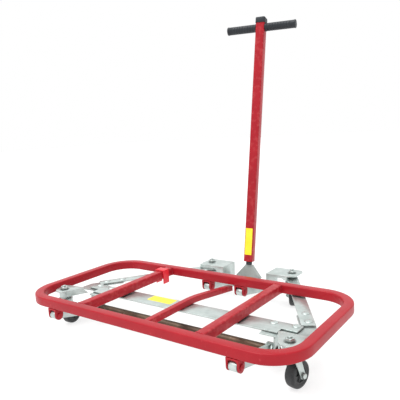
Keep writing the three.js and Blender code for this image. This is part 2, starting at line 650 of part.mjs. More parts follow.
function addCasters() {
  const frontStack = BAR_BOTTOM - GAP - SHEET;
  addCaster('front_left', -FRONT_CASTER.x, FRONT_CASTER.y, SWIVEL.frontLeft, frontStack);
  addCaster('front_right', FRONT_CASTER.x, FRONT_CASTER.y, SWIVEL.frontRight, frontStack);
  addCaster('rear_left', REAR_CENTRE_X - REAR_CASTER.x, REAR_CASTER.y, SWIVEL.rearLeft, BAR_BOTTOM);
  addCaster('rear_right', REAR_CENTRE_X + REAR_CASTER.x, REAR_CASTER.y, SWIVEL.rearRight, BAR_BOTTOM);
}

// ---- Handle. Heights are along the handle's own axis, from the rear shaft.

// Trapezoid plate welded to a tube on the rear shaft, with its sloping edges folded back.
function yoke() {
  const { thickness, halfFoot, footTop, shoulder, halfShoulder, top, halfTop, flange, hubRadius } = YOKE;
  const face = outlineOf([
    [0, -halfFoot], [0, halfFoot], [footTop, halfFoot], [footTop, halfShoulder], [shoulder, halfShoulder],
    [top, halfTop], [top, -halfTop], [shoulder, -halfShoulder], [footTop, -halfShoulder],
    [footTop, -halfFoot],
  ].reverse());
  const rise = top - shoulder;
  const inset = thickness * Math.hypot(rise, halfShoulder - halfTop) / rise;
  const wide = halfShoulder + PAST;
  const recess = outlineOf([
    [-hubRadius, -wide], [-hubRadius, wide], [shoulder, wide], [shoulder, halfShoulder - inset],
    [top, halfTop - inset], [top + PAST, halfTop - inset], [top + PAST, inset - halfTop],
    [top, inset - halfTop], [shoulder, inset - halfShoulder], [shoulder, -wide],
  ].reverse());
  const sheet = plate(face, 'zx', -thickness / 2, thickness + flange)
    .subtract(plate(recess, 'zx', thickness / 2, flange + PAST));
  const hub = rod('x', hubRadius, -halfFoot, halfFoot, [0, 0, 0]);
  const bore = rod('x', SHAFT_RADIUS + GAP, -FRAME_WIDTH, FRAME_WIDTH, [0, 0, 0]);
  return toGeometry(sheet.add(hub).subtract(bore));
}

// Round stub above the yoke, with a slimmer pin and a retaining head inside the handle tube.
function swivelStub() {
  const { radius, top, pinRadius, pinTop, capRadius, capTop } = STUB;
  return toGeometry(rod('z', radius, YOKE.top + GAP, top, [0, 0, 0])
    .add(rod('z', pinRadius, top, pinTop, [0, 0, 0]))
    .add(rod('z', capRadius, pinTop, capTop, [0, 0, 0])));
}

function swivelBush() {
  const half = HANDLE_TUBE / 2 - TUBE_WALL - GAP;
  const body = block([-half, half], [-half, half], [HANDLE_BOTTOM, BUSH_TOP]);
  return toGeometry(body.subtract(rod('z', STUB.pinRadius + GAP, 0, HANDLE_TOP, [0, 0, 0])));
}

function handleTube() {
  const tube = squareTube(HANDLE_TUBE, TUBE_WALL, HANDLE_EDGE_RADIUS, HANDLE_BOTTOM, HANDLE_TOP);
  const bore = rod('x', T_BAR.radius + GAP, -HANDLE_TUBE, HANDLE_TUBE, [0, 0, T_BAR.height]);
  return toGeometry(tube.subtract(bore));
}

function tBar() {
  const { height, radius, wall, half } = T_BAR;
  return toGeometry(rod('x', radius, -half, half, [0, 0, height])
    .subtract(rod('x', radius - wall, -half - PAST, half + PAST, [0, 0, height])));
}

// Sleeve with a closed, slightly wider outer end, pushed over one end of the T-bar.
function grip() {
  const { radius, half, rimRadius, rimWidth } = GRIP;
  const centre = [0, 0, T_BAR.height];
  const start = HANDLE_TUBE / 2 + GAP;
  return toGeometry(rod('x', radius, start, half, centre)
    .add(rod('x', rimRadius, half - rimWidth, half, centre))
    .subtract(rod('x', T_BAR.radius + GAP, 0, T_BAR.half + GAP, centre)));
}

// Square cap over the top of the handle tube, chamfered at the top.
function topCap() {
  const { width, corner, bottom, top, chamfer } = TOP_CAP;
  const shell = softPlate(roundedRectangle(width / 2, width / 2, corner), 'xy', bottom - chamfer,
    top - bottom + chamfer, chamfer, EDGE_STEPS);
  const below = block([-width, width], [-width, width], [bottom - 2 * chamfer, bottom]);
  const inside = HANDLE_TUBE / 2 + GAP;
  const socket = block([-inside, inside], [-inside, inside], [bottom - PAST, HANDLE_TOP + GAP]);
  return toGeometry(shell.subtract(below).subtract(socket));
}

function addHandle() {
  const leaning = new THREE.Group();
  leaning.position.set(0, REAR_SHAFT_Y, SHAFT_Z);
  leaning.rotation.x = -HANDLE_LEAN;
  dolly.add(leaning);
  addPiece('yoke', yoke(), 'zincPlate', leaning);
  addPiece('swivel_stub', swivelStub(), 'blackSteel', leaning);

  const twisted = new THREE.Group();
  twisted.rotation.z = HANDLE_TWIST;
  leaning.add(twisted);
  addPiece('swivel_bush', swivelBush(), 'bushPlastic', twisted);
  addPiece('handle_tube', handleTube(), 'redPaint', twisted);
  addPiece('t_bar', tBar(), 'zincPlate', twisted);
  addPiece('grip_right', grip(), 'blackPlastic', twisted);
  addPiece('grip_left', mirrored(grip()), 'blackPlastic', twisted);
  addPiece('top_cap', topCap(), 'blackPlastic', twisted);
}

addBase();
addLiftFrame();
addCranks();
addCasters();
addHandle();
dolly.updateMatrixWorld(true);

export default dolly;
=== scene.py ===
"""Looks of the wheel dolly: red enamelled tube, zinc-plated base, black rubber casters and grips.

Metres, in the CAD frame: +X to the right, +Y back to the handle, +Z up, floor at Z = 0.
"""

import json
import math

import bmesh
import bpy
from mathutils import Matrix, Vector


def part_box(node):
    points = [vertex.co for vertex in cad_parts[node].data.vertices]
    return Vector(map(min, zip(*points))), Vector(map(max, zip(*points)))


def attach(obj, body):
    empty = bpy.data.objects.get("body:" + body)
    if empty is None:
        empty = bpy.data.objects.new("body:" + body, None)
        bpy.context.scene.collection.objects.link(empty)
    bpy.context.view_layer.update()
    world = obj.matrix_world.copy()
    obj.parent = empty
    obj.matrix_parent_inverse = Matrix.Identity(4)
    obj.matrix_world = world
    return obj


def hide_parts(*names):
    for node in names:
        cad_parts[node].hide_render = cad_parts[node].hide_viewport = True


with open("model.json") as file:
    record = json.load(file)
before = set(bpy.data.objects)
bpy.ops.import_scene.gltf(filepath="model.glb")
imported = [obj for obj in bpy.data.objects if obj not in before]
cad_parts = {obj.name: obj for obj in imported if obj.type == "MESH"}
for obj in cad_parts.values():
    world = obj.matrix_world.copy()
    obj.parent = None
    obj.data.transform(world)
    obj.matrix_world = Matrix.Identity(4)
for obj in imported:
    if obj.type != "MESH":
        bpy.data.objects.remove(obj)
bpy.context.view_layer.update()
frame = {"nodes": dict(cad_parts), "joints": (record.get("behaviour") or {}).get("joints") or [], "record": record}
JOINTS = {joint["name"]: joint for joint in frame["joints"]}
SIDES = (("left", -1), ("right", 1))
CORNERS = ("front_left", "front_right", "rear_left", "rear_right")
MM = 0.001

# Sizes that the CAD nodes share, in metres
TUBE_CORNER = 4 * MM
TUBE_WALL = 2 * MM
FRAME_CORNER_RADIUS = 115 * MM
HANDLE_LEAN = math.radians(10.6)
HANDLE_TWIST = math.radians(10)
HANDLE_HALF = 17.5 * MM
POST_FOOT, POST_TOP = 87.5 * MM, 1046 * MM
GRIP_HEIGHT = 1014 * MM

# Details that only the looks have, in metres
WELD_RADIUS = 2.6 * MM
BEND_REACH = 40 * MM
CENTRE_BAR_CORNER = 2.5 * MM
PIN_SHANK = 6 * MM
PIN_HEAD_LENGTH = 3 * MM
BAR_END = Vector((423.4, -167, 0)) * MM
BRACKET_RIVETS = ((331 * MM, -194 * MM), (397 * MM, -188 * MM))
DIAGONAL_RIVETS = (87 * MM, 27 * MM)
DIAGONAL_RIVET_OFFSET = 4 * MM
RIVET_HEAD, RIVET_HEAD_HEIGHT = 12.5 * MM, 3.6 * MM
RIVET_SHANK = 4 * MM
RIVET_TAIL, RIVET_TAIL_LOW, RIVET_TAIL_HIGH = 9 * MM, -12 * MM, -9.8 * MM
KINGPIN_NUT_ACROSS = 23.4 * MM
KINGPIN_WASHER = 15 * MM
KINGPIN_RADIUS = 6.2 * MM
THREAD_TURNS = 7
SHAFT_CHAMFER = 1.5 * MM
TYRE_RADIUS, TYRE_HALF, TYRE_BORE, TYRE_SHOULDER = 37.5 * MM, 14 * MM, 23.3 * MM, 7 * MM
HUB_HALF = 13.2 * MM
HUB_RIBS = 6
AXLE_SEAT = 19.8 * MM
AXLE_NUT_ACROSS = 13 * MM
GRIP_START, GRIP_END = 17.9 * MM, 141.4 * MM
GRIP_RADIUS, GRIP_RIM, GRIP_BORE = 15.3 * MM, 16.1 * MM, 12.8 * MM
GRIP_RINGS = 9
SOFT_EDGE = 0.7 * MM

# Studio: the light comes from above the front left, the camera stands in front to the right
SUN_FROM, SUN_STRENGTH, SUN_SPREAD = (-0.8, -0.9, 3.0), 2.0, 45
FLOOR_GLOW = 0.72
CAMERA_PLACE = (0.9472, -1.3423, 0.6606)
CAMERA_YAW, CAMERA_DOWN, CAMERA_ROLL = math.radians(-36.61), math.radians(8.12), math.radians(-3.33)
CAMERA_LENS = 42.91


# ---- Node materials

def new_material(name, roughness, metallic=0.0, coat=0.0, coat_roughness=0.1):
    """A Principled material. Returns it with its node tree and shader, to be given detail."""
    material = bpy.data.materials.new(name)
    material.use_nodes = True
    shader = material.node_tree.nodes["Principled BSDF"]
    shader.inputs["Roughness"].default_value = roughness
    shader.inputs["Metallic"].default_value = metallic
    shader.inputs["Coat Weight"].default_value = coat
    shader.inputs["Coat Roughness"].default_value = coat_roughness
    return material, material.node_tree, shader


def noise(tree, scale, detail=3.0, stretch=(1, 1, 1)):
    """Noise in object space, so it stays on the piece when the piece moves."""
    place = tree.nodes.new("ShaderNodeTexCoord")
    mapping = tree.nodes.new("ShaderNodeMapping")
    mapping.inputs["Scale"].default_value = stretch
    texture = tree.nodes.new("ShaderNodeTexNoise")
    texture.inputs["Scale"].default_value = scale
    texture.inputs["Detail"].default_value = detail
    tree.links.new(place.outputs["Object"], mapping.inputs["Vector"])
    tree.links.new(mapping.outputs["Vector"], texture.inputs["Vector"])
    return texture.outputs["Fac"]


def ramp(tree, value, stops):
    """Colour ramp over a value. Stops are (position, colour)."""
    node = tree.nodes.new("ShaderNodeValToRGB")
    elements = node.color_ramp.elements
    while len(elements) < len(stops):
        elements.new(0.5)
    for element, (position, colour) in zip(elements, stops):
        element.position = position
        element.color = (*colour, 1.0)
    tree.links.new(value, node.inputs["Fac"])
    return node.outputs["Color"]


def grey(level):
    return (level, level, level)


def spread(tree, value, low, high):
    """A value from 0 to 1 stretched over low to high."""
    node = tree.nodes.new("ShaderNodeMapRange")
    node.inputs["To Min"].default_value = low
    node.inputs["To Max"].default_value = high
    tree.links.new(value, node.inputs["Value"])
    return node.outputs["Result"]


def mix(tree, factor, first, second):
    """Mixes two colours. Each is a socket or a plain colour."""
    node = tree.nodes.new("ShaderNodeMix")
    node.data_type = "RGBA"
    tree.links.new(factor, node.inputs["Factor"])
    for slot, colour in ((6, first), (7, second)):
        if isinstance(colour, tuple):
            node.inputs[slot].default_value = (*colour, 1.0)
        else:
            tree.links.new(colour, node.inputs[slot])
    return node.outputs[2]


def add_bump(tree, shader, height, strength, distance):
    node = tree.nodes.new("ShaderNodeBump")
    node.inputs["Strength"].default_value = strength
    node.inputs["Distance"].default_value = distance
    tree.links.new(height, node.inputs["Height"])
    tree.links.new(node.outputs["Normal"], shader.inputs["Normal"])


def worn_edges(tree, low=0.56, high=0.64):
    """1 on sharp convex edges where the finish rubs thin, broken up by noise."""
    geometry = tree.nodes.new("ShaderNodeNewGeometry")
    edges = ramp(tree, geometry.outputs["Pointiness"], [(low, grey(0)), (high, grey(1))])
    patches = ramp(tree, noise(tree, 60, 4), [(0.5, grey(0)), (0.62, grey(1))])
    node = tree.nodes.new("ShaderNodeMath")
    node.operation = "MULTIPLY"
    tree.links.new(edges, node.inputs[0])
    tree.links.new(patches, node.inputs[1])
    return node.outputs["Value"]


def painted_crevice_shade(tree, distance=0.008, low=0.55, high=0.95):
    """Painted shade: high in corners, along overlaps and under heads, where ambient occlusion finds nearby
    surfaces; 0 on open faces.
    """
    node = tree.nodes.new("ShaderNodeAmbientOcclusion")
    node.samples = 8
    node.inputs["Distance"].default_value = distance
    return ramp(tree, node.outputs["AO"], [(low, grey(0.85)), (high, grey(0))])


def red_paint():
    """Thick enamel: slight orange peel, uneven depth of colour and a few rubbed edges."""
    material, tree, shader = new_material("red_enamel", 0.38, coat=0.14, coat_roughness=0.12)
    shader.inputs["Specular IOR Level"].default_value = 0.16
    depth = ramp(tree, noise(tree, 9, 4), [(0.3, (0.340, 0.009, 0.018)), (0.7, (0.415, 0.012, 0.021))])
    scuffed = ramp(tree, noise(tree, 140, 5, (1, 1, 0.35)), [(0.66, grey(0)), (0.8, grey(1))])
    faded = mix(tree, scuffed, depth, (0.54, 0.050, 0.060))
    colour = mix(tree, worn_edges(tree), faded, (0.58, 0.10, 0.10))
    tree.links.new(colour, shader.inputs["Base Color"])
    tree.links.new(spread(tree, noise(tree, 22, 4), 0.30, 0.46), shader.inputs["Roughness"])
    add_bump(tree, shader, noise(tree, 420, 2), 0.10, 0.0004)
    return material


def zinc_plate():
    """Bright zinc with a cool cast, faint crystal patches, rolling streaks and dull handling marks, and painted
    shade darkening its crevices.
    """
    material, tree, shader = new_material("zinc_plate", 0.36, metallic=0.78)
    patches = ramp(tree, noise(tree, 34, 5), [(0.35, (0.50, 0.57, 0.55)), (0.65, (0.63, 0.70, 0.68))])
    streaks = ramp(tree, noise(tree, 30, 3, (0.4, 5, 5)), [(0.4, grey(0)), (0.75, grey(0.45))])
    clean = mix(tree, streaks, patches, (0.50, 0.56, 0.54))
    # Painted shade: the zinc colour is darkened to near black where ambient occlusion finds corners, overlaps and
    # gaps under rivet heads
    colour = mix(tree, painted_crevice_shade(tree), clean, (0.16, 0.175, 0.17))
    tree.links.new(colour, shader.inputs["Base Color"])
    tree.links.new(spread(tree, noise(tree, 55, 5), 0.24, 0.50), shader.inputs["Roughness"])
    add_bump(tree, shader, noise(tree, 260, 3), 0.12, 0.0003)
    return material


def yoke_zinc():
    """Dull zinc on the yoke plate, darker than the base."""
    material, tree, shader = new_material("yoke_zinc", 0.5, metallic=0.55)
    colour = ramp(tree, noise(tree, 26, 4), [(0.35, (0.36, 0.40, 0.38)), (0.7, (0.46, 0.50, 0.48))])
    tree.links.new(colour, shader.inputs["Base Color"])
    tree.links.new(spread(tree, noise(tree, 70, 4), 0.4, 0.6), shader.inputs["Roughness"])
    add_bump(tree, shader, noise(tree, 300, 3), 0.12, 0.0003)
    return material


def dark_shaft():
    """Bare drawn bar under brown oil, with draw lines round the bar and rubbed bright spots."""
    material, tree, shader = new_material("dark_shaft", 0.42, metallic=0.6)
    oil = ramp(tree, noise(tree, 18, 4), [(0.35, (0.070, 0.045, 0.030)), (0.7, (0.150, 0.095, 0.062))])
    rubbed = ramp(tree, noise(tree, 40, 5, (3, 1, 1)), [(0.64, grey(0)), (0.78, grey(0.8))])
    tree.links.new(mix(tree, rubbed, oil, (0.30, 0.24, 0.19)), shader.inputs["Base Color"])
    tree.links.new(spread(tree, noise(tree, 60, 3), 0.3, 0.55), shader.inputs["Roughness"])
    add_bump(tree, shader, noise(tree, 120, 2, (8, 1, 1)), 0.15, 0.0002)
    return material


def black_steel():
    material, tree, shader = new_material("black_steel", 0.45, metallic=0.5)
    colour = ramp(tree, noise(tree, 60, 4), [(0.35, (0.020, 0.021, 0.024)), (0.75, (0.055, 0.056, 0.060))])
    tree.links.new(mix(tree, worn_edges(tree), colour, (0.20, 0.20, 0.21)), shader.inputs["Base Color"])
    add_bump(tree, shader, noise(tree, 400, 2), 0.1, 0.0002)
    return material


def black_plastic():
    """Moulded grip plastic: fine leather-like grain and a slightly dusty surface."""
    material, tree, shader = new_material("black_plastic", 0.55)
    colour = ramp(tree, noise(tree, 45, 5), [(0.4, (0.006, 0.010, 0.015)), (0.8, (0.013, 0.018, 0.024))])
    tree.links.new(colour, shader.inputs["Base Color"])
    tree.links.new(spread(tree, noise(tree, 90, 3), 0.42, 0.62), shader.inputs["Roughness"])
    add_bump(tree, shader, noise(tree, 900, 2), 0.25, 0.0003)
    return material


def red_plastic():
    material, tree, shader = new_material("red_plastic", 0.32)
    colour = ramp(tree, noise(tree, 25, 3), [(0.4, (0.74, 0.015, 0.030)), (0.7, (0.84, 0.030, 0.045))])
    tree.links.new(colour, shader.inputs["Base Color"])
    add_bump(tree, shader, noise(tree, 500, 2), 0.1, 0.0002)
    return material


def rubber():
    """Solid black rubber: pale dust caught in the tread, fine pitting and a soft sheen."""
    material, tree, shader = new_material("tyre_rubber", 0.62)
    shader.inputs["Sheen Weight"].default_value = 0.15
    shader.inputs["Sheen Roughness"].default_value = 0.5
    dust = ramp(tree, noise(tree, 55, 6), [(0.52, grey(0)), (0.78, grey(0.55))])
    colour = mix(tree, dust, (0.010, 0.012, 0.013), (0.055, 0.058, 0.056))
    tree.links.new(colour, shader.inputs["Base Color"])
    tree.links.new(spread(tree, noise(tree, 80, 4), 0.48, 0.74), shader.inputs["Roughness"])
    add_bump(tree, shader, noise(tree, 700, 3), 0.3, 0.0003)
    return material


def hub_plastic():
    material, tree, shader = new_material("hub_plastic", 0.5)
    colour = ramp(tree, noise(tree, 60, 4), [(0.4, (0.030, 0.033, 0.034)), (0.75, (0.060, 0.064, 0.066))])
    tree.links.new(colour, shader.inputs["Base Color"])
    add_bump(tree, shader, noise(tree, 500, 2), 0.15, 0.0002)
    return material


def nylon():
    material, tree, shader = new_material("nylon", 0.5)
    colour = ramp(tree, noise(tree, 40, 3), [(0.4, (0.66, 0.62, 0.52)), (0.7, (0.74, 0.70, 0.60))])
    tree.links.new(colour, shader.inputs["Base Color"])
    return material


def label_vinyl():
    """Plain yellow sticker: soft sheen, slight fading, edges a little soiled."""
    material, tree, shader = new_material("label_vinyl", 0.38, coat=0.2)
    colour = ramp(tree, noise(tree, 30, 4), [(0.35, (0.97, 0.80, 0.015)), (0.75, (1.0, 0.86, 0.030))])
    tree.links.new(colour, shader.inputs["Base Color"])
    tree.links.new(spread(tree, noise(tree, 90, 3), 0.3, 0.48), shader.inputs["Roughness"])
    return material


def weld_metal():
    """Weld bead under the same enamel, a shade deeper where paint pooled."""
    material, tree, shader = new_material("painted_weld", 0.4, coat=0.2)
    shader.inputs["Specular IOR Level"].default_value = 0.25
    colour = ramp(tree, noise(tree, 120, 4), [(0.35, (0.32, 0.012, 0.022)), (0.7, (0.44, 0.020, 0.032))])
    tree.links.new(colour, shader.inputs["Base Color"])
    add_bump(tree, shader, noise(tree, 350, 3), 0.35, 0.0006)
    return material


RED = red_paint()
ZINC = zinc_plate()
YOKE = yoke_zinc()
SHAFT = dark_shaft()
BLACK = black_steel()
GRIP = black_plastic()
CLIP = red_plastic()
RUBBER = rubber()
HUB = hub_plastic()
NYLON = nylon()
LABEL = label_vinyl()
WELD = weld_metal()

SLOT_MATERIALS = {
    "red_paint": RED, "zinc_plate": ZINC, "dark_shaft": SHAFT, "black_steel": BLACK,
    "black_plastic": GRIP, "red_plastic": CLIP, "tyre_rubber": RUBBER, "hub_plastic": HUB,
    "bush_plastic": NYLON,
}


# ---- Mesh helpers

def finish_piece(name, build, material, body, replaces=()):
    """Turns a bmesh into a named piece that rides on a body and takes the given finish."""
    bmesh.ops.remove_doubles(build, verts=build.verts, dist=1e-6)
    bmesh.ops.recalc_face_normals(build, faces=build.faces)
    mesh = bpy.data.meshes.new(name)
    build.to_mesh(mesh)
    build.free()
    mesh.materials.append(material)
    mesh.shade_smooth()
    mesh.set_sharp_from_angle(angle=math.radians(40))
    piece = bpy.data.objects.new(name, mesh)
    bpy.context.scene.collection.objects.link(piece)
    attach(piece, body)
    if replaces:
        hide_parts(*replaces)
    return piece


def soften(obj, width, segments=2, angle=35):
    """Rounds an object's hard edges by a bevel of the given width."""
    bevel = obj.modifiers.new("soft_edges", "BEVEL")
    bevel.width = width
    bevel.segments = segments
    bevel.limit_method = "ANGLE"
    bevel.angle_limit = math.radians(angle)
    bevel.use_clamp_overlap = True
    bevel.harden_normals = True
    return obj


def skin_rings(build, rings, closed=False):
    """Joins rings of equal length with quads. A closed skin also joins the last ring to the first."""
    made = [[build.verts.new(point) for point in ring] for ring in rings]
    pairs = list(zip(made, made[1:]))
    if closed:
        pairs.append((made[-1], made[0]))
    for first, second in pairs:
        for i in range(len(first)):
            j = (i + 1) % len(first)
            build.faces.new((first[i], first[j], second[j], second[i]))
    return made


def rounded_square(half, corner, steps=4):
    """Outline of a square with round corners, as (u, v) points."""
    points = []
    for quarter in range(4):
        middle = Vector((half - corner, half - corner))
        middle.rotate(Matrix.Rotation(quarter * math.pi / 2, 2))
        for step in range(steps + 1):
            angle = (quarter + step / steps) * math.pi / 2
            points.append((middle.x + corner * math.cos(angle), middle.y + corner * math.sin(angle)))
    return points


def lathe(build, profile, matrix, sides=48):
    """Body of revolution. Profile points are (radius, height) on a closed outline or from axis to axis."""
    rings = []
    for radius, height in profile:
        ring = [Vector((radius * math.cos(a), radius * math.sin(a), height))
                for a in (2 * math.pi * k / sides for k in range(sides))]
        rings.append([matrix @ point for point in ring])
    skin_rings(build, rings, closed=profile[0][0] > 0 and profile[-1][0] > 0)


def axis_matrix(position, direction):
    """Local +Z along the direction, with the origin at the position."""
    turn = Vector(direction).to_track_quat("Z", "Y").to_matrix().to_4x4()
    return Matrix.Translation(position) @ turn


def dome(radius, height, base, steps=5):
    """Profile of a low domed head, from its rim up to the axis."""
    return [(radius * math.cos(t), base + height * math.sin(t))
            for t in (math.pi / 2 * k / steps for k in range(steps))] + [(0, base + height)]


def straight_tube(build, matrix, half, corner, wall, start, end):
    """Square tube with rounded edges along local Z, open at both ends."""
    outer = rounded_square(half, corner)
    inner = rounded_square(half - wall, max(corner - wall, 0.5 * MM))
    lip = 0.3 * MM
    rings = []
    for outline, height, shrink in (
        (outer, start + lip, 1), (outer, end - lip, 1), (outer, end, 1 - lip / half),
        (inner, end, 1), (inner, start, 1), (outer, start, 1 - lip / half),
    ):
        rings.append([matrix @ Vector((u * shrink, v * shrink, height)) for u, v in outline])
    skin_rings(build, rings, closed=True)


# ---- Lift frame

def frame_path(length, width, radius, steps=14):
    """Middle line of the bent frame, with the outward direction at each point."""
    path = []
    for quarter, (sx, sy) in enumerate(((1, 1), (-1, 1), (-1, -1), (1, -1))):
        for step in range(steps + 1):
            angle = (quarter + step / steps) * math.pi / 2
            outward = Vector((math.cos(angle), math.sin(angle), 0))
            middle = Vector((sx * (length - radius), sy * (width - radius), 0))
            path.append((middle + outward * radius, outward))
    return path


def make_frame_loop():
    low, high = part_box("frame_loop")
    half = (high.z - low.z) / 2
    centre = (low + high) / 2
    path = frame_path((high.x - low.x) / 2 - half, (high.y - low.y) / 2 - half, FRAME_CORNER_RADIUS - half)
    section = rounded_square(half, TUBE_CORNER)
    build = bmesh.new()
    rings = [[centre + point + outward * u + Vector((0, 0, v)) for u, v in section]
             for point, outward in path]
    skin_rings(build, rings, closed=True)
    finish_piece("frame_tube", build, RED, "lift_frame", ["frame_loop"])


def make_crossbars():
    for side, _ in SIDES:
        low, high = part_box(f"crossbar_{side}")
        centre = (low + high) / 2
        build = bmesh.new()
        reach = (high.y - low.y) / 2
        straight_tube(build, axis_matrix(centre, (0, 1, 0)), (high.z - low.z) / 2, TUBE_CORNER,
                      TUBE_WALL, -reach, reach)
        finish_piece(f"crossbar_tube_{side}", build, RED, "lift_frame", [f"crossbar_{side}"])


def bead(build, corners, radius, ripples_per_metre=260):
    """Rippled weld bead along a closed path of straight stretches."""
    rings = []
    total = 0.0
    for start, end in zip(corners, corners[1:] + corners[:1]):
        run = (end - start)
        steps = max(4, int(run.length / (1.2 * MM)))
        for k in range(steps):
            point = start + run * (k / steps)
            total += run.length / steps
            size = radius * (1 + 0.16 * math.sin(total * ripples_per_metre * math.pi))
            side = run.normalized().cross(Vector((0, 1, 0)))
            rings.append([point + side * (size * math.cos(a)) + Vector((0, size * math.sin(a), 0))
                          for a in (2 * math.pi * n / 8 for n in range(8))])
    skin_rings(build, rings, closed=True)


def make_crossbar_welds():
    """A bead round each end of each crossbar, where it meets the rails."""
    for side, _ in SIDES:
        low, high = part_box(f"crossbar_{side}")
        for end, y in (("front", low.y), ("back", high.y)):
            inset = 1.2 * MM
            left, right, bottom, top = low.x + inset, high.x - inset, low.z + inset, high.z - inset
            outline = ((left, bottom), (right, bottom), (right, top), (left, top))
            corners = [Vector((x, y, z)) for x, z in outline]
            build = bmesh.new()
            bead(build, corners, WELD_RADIUS)
            finish_piece(f"weld_{end}_{side}", build, WELD, "lift_frame")


def make_centre_bar():
    """Square tube that runs level, then bends down on a short curve to pass under the back rail."""
    low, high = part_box("centre_bar")
    tail_low, tail_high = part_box("centre_bar_tail")
    half = (high.x - low.x) / 2
    middle = low.x + half
    bend_y = tail_low.y
    level = high.z - half
    slope = (low.z - tail_low.z) / (tail_high.y - bend_y)
    path = [Vector((middle, low.y, level))]
    for k in range(9):
        t = k / 8
        y = bend_y - BEND_REACH + 2 * BEND_REACH * t
        path.append(Vector((middle, y, level - slope * BEND_REACH * t * t)))
    path.append(Vector((middle, tail_high.y, level - slope * (tail_high.y - bend_y))))
    outer = rounded_square(half, CENTRE_BAR_CORNER)
    inner = rounded_square(half - TUBE_WALL, 0.8 * MM)
    build = bmesh.new()
    outside = [[point + Vector((u, 0, v)) for u, v in outer] for point in path]
    inside = [[point + Vector((u, 0, v)) for u, v in inner] for point in reversed(path)]
    skin_rings(build, outside + inside, closed=True)
    finish_piece("centre_bar_tube", build, RED, "lift_frame", ["centre_bar", "centre_bar_tail"])


def make_clevis_pins():
    """Headed pins with a chamfered tail, painted with the frame."""
    for end in ("front", "rear"):
        for side, _ in SIDES:
            node = f"{end}_clevis_pin_{side}"
            low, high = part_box(node)
            middle = (low + high) / 2
            head = (high.z - low.z) / 2
            length = high.x - low.x
            neck = length - PIN_HEAD_LENGTH
            build = bmesh.new()
            profile = [(0, 0), (PIN_SHANK - 1 * MM, 0), (PIN_SHANK, 1 * MM), (PIN_SHANK, neck),
                       (head - 0.8 * MM, neck), (head, length - 2.2 * MM),
                       *dome(head, 1.6 * MM, length - 1.6 * MM)]
            lathe(build, profile, axis_matrix((low.x, middle.y, middle.z), (1, 0, 0)), 40)
            finish_piece(f"headed_pin_{end}_{side}", build, RED, "lift_frame", [node])


# ---- Base

def make_rivets():
    """Domed rivets through the bar ends and the corner brackets."""
    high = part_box("base_cross_bar")[1]
    for side, sign in SIDES:
        bar_end = Vector((sign * BAR_END.x, BAR_END.y, high.z))
        kingpin = Vector(JOINTS[f"swivel_rear_{side}"]["pos_m"])
        run = kingpin - bar_end
        run.z = 0
        run.normalize()
        outward = Vector((sign * abs(run.y), abs(run.x), 0))
        places = [Vector((sign * x, y, high.z)) for x, y in BRACKET_RIVETS]
        places += [bar_end + run * along + outward * DIAGONAL_RIVET_OFFSET for along in DIAGONAL_RIVETS]
        for number, place in enumerate(places, start=1):
            build = bmesh.new()
            profile = [(0, RIVET_TAIL_LOW), (RIVET_TAIL, RIVET_TAIL_LOW), (RIVET_TAIL, RIVET_TAIL_HIGH),
                       (RIVET_SHANK, RIVET_TAIL_HIGH), (RIVET_SHANK, 0),
                       *dome(RIVET_HEAD, RIVET_HEAD_HEIGHT, 0)]
            lathe(build, profile, Matrix.Translation(place), 40)
            finish_piece(f"rivet_{side}_{number}", build, ZINC, "base")


def hexagon(build, matrix, across, bottom, top):
    """Hexagon nut or bolt head with its corners turned down to a chamfer at both faces."""
    corner = across / math.sqrt(3)
    sides = 48
    rings = []
    inside = across / 2 * 0.94
    for height, limit in ((bottom, inside), (bottom + 0.1 * corner, corner), (top - 0.14 * corner, corner),
                          (top, inside)):
        ring = []
        for k in range(sides):
            angle = 2 * math.pi * k / sides
            flat = across / 2 / math.cos((angle % (math.pi / 3)) - math.pi / 6)
            radius = min(flat, limit)
            ring.append(matrix @ Vector((radius * math.cos(angle), radius * math.sin(angle), height)))
        rings.append(ring)
    made = skin_rings(build, rings)
    build.faces.new(list(reversed(made[0])))
    build.faces.new(made[-1])


def make_kingpins():
    """Kingpin bolts: collar, washer, hexagon nut and the end of the thread."""
    for corner in CORNERS:
        node = f"kingpin_{corner}"
        low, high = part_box(node)
        x, y, _ = JOINTS[f"swivel_{corner}"]["pos_m"]
        bracket = "corner_bracket" if corner.startswith("front") else "rear_bracket"
        plate_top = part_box(f"{bracket}_{corner.split('_')[1]}")[1].z
        at = Matrix.Translation((x, y, 0))
        build = bmesh.new()
        hexagon(build, at, KINGPIN_NUT_ACROSS, plate_top + 1.6 * MM, plate_top + 11 * MM)
        seat, cover = plate_top + 0.05 * MM, plate_top + 1.5 * MM
        lathe(build, [(KINGPIN_RADIUS, seat), (KINGPIN_WASHER, seat), (KINGPIN_WASHER, cover),
                      (KINGPIN_RADIUS, cover)], at)
        thread = [(0, low.z), (8 * MM, low.z), (9 * MM, low.z + 1 * MM), (9 * MM, low.z + 6.4 * MM),
                  (6 * MM, low.z + 6.4 * MM)]
        start = plate_top + 9 * MM
        for k in range(THREAD_TURNS):
            z = start + (high.z - start - 0.6 * MM) * k / THREAD_TURNS
            thread += [(6 * MM, z), (5.3 * MM, z + 0.45 * MM)]
        thread += [(5 * MM, high.z), (0, high.z)]
        lathe(build, thread, at, 32)
        stack = low.z + 13.2 * MM
        top = 104.2 * MM if corner.startswith("front") else 108.5 * MM
        lathe(build, [(6.3 * MM, stack), (19 * MM, stack), (20 * MM, stack + 1 * MM), (20 * MM, top - 1 * MM),
                      (19 * MM, top), (6.3 * MM, top)], at)
        finish_piece(f"kingpin_bolt_{corner}", build, ZINC, "base", [node])


def make_shafts():
    for node, body in (("front_shaft", "front_rocker"), ("rear_shaft", "rear_rocker")):
        low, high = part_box(node)
        middle = (low + high) / 2
        radius = (high.z - low.z) / 2
        length = high.x - low.x
        rim = radius - SHAFT_CHAMFER
        profile = [(0, 0), (rim, 0), (radius, SHAFT_CHAMFER), (radius, length - SHAFT_CHAMFER),
                   (rim, length), (0, length)]
        build = bmesh.new()
        lathe(build, profile, axis_matrix((low.x, middle.y, middle.z), (1, 0, 0)), 56)
        finish_piece(f"{node}_bar", build, SHAFT, body, [node])


# ---- Casters

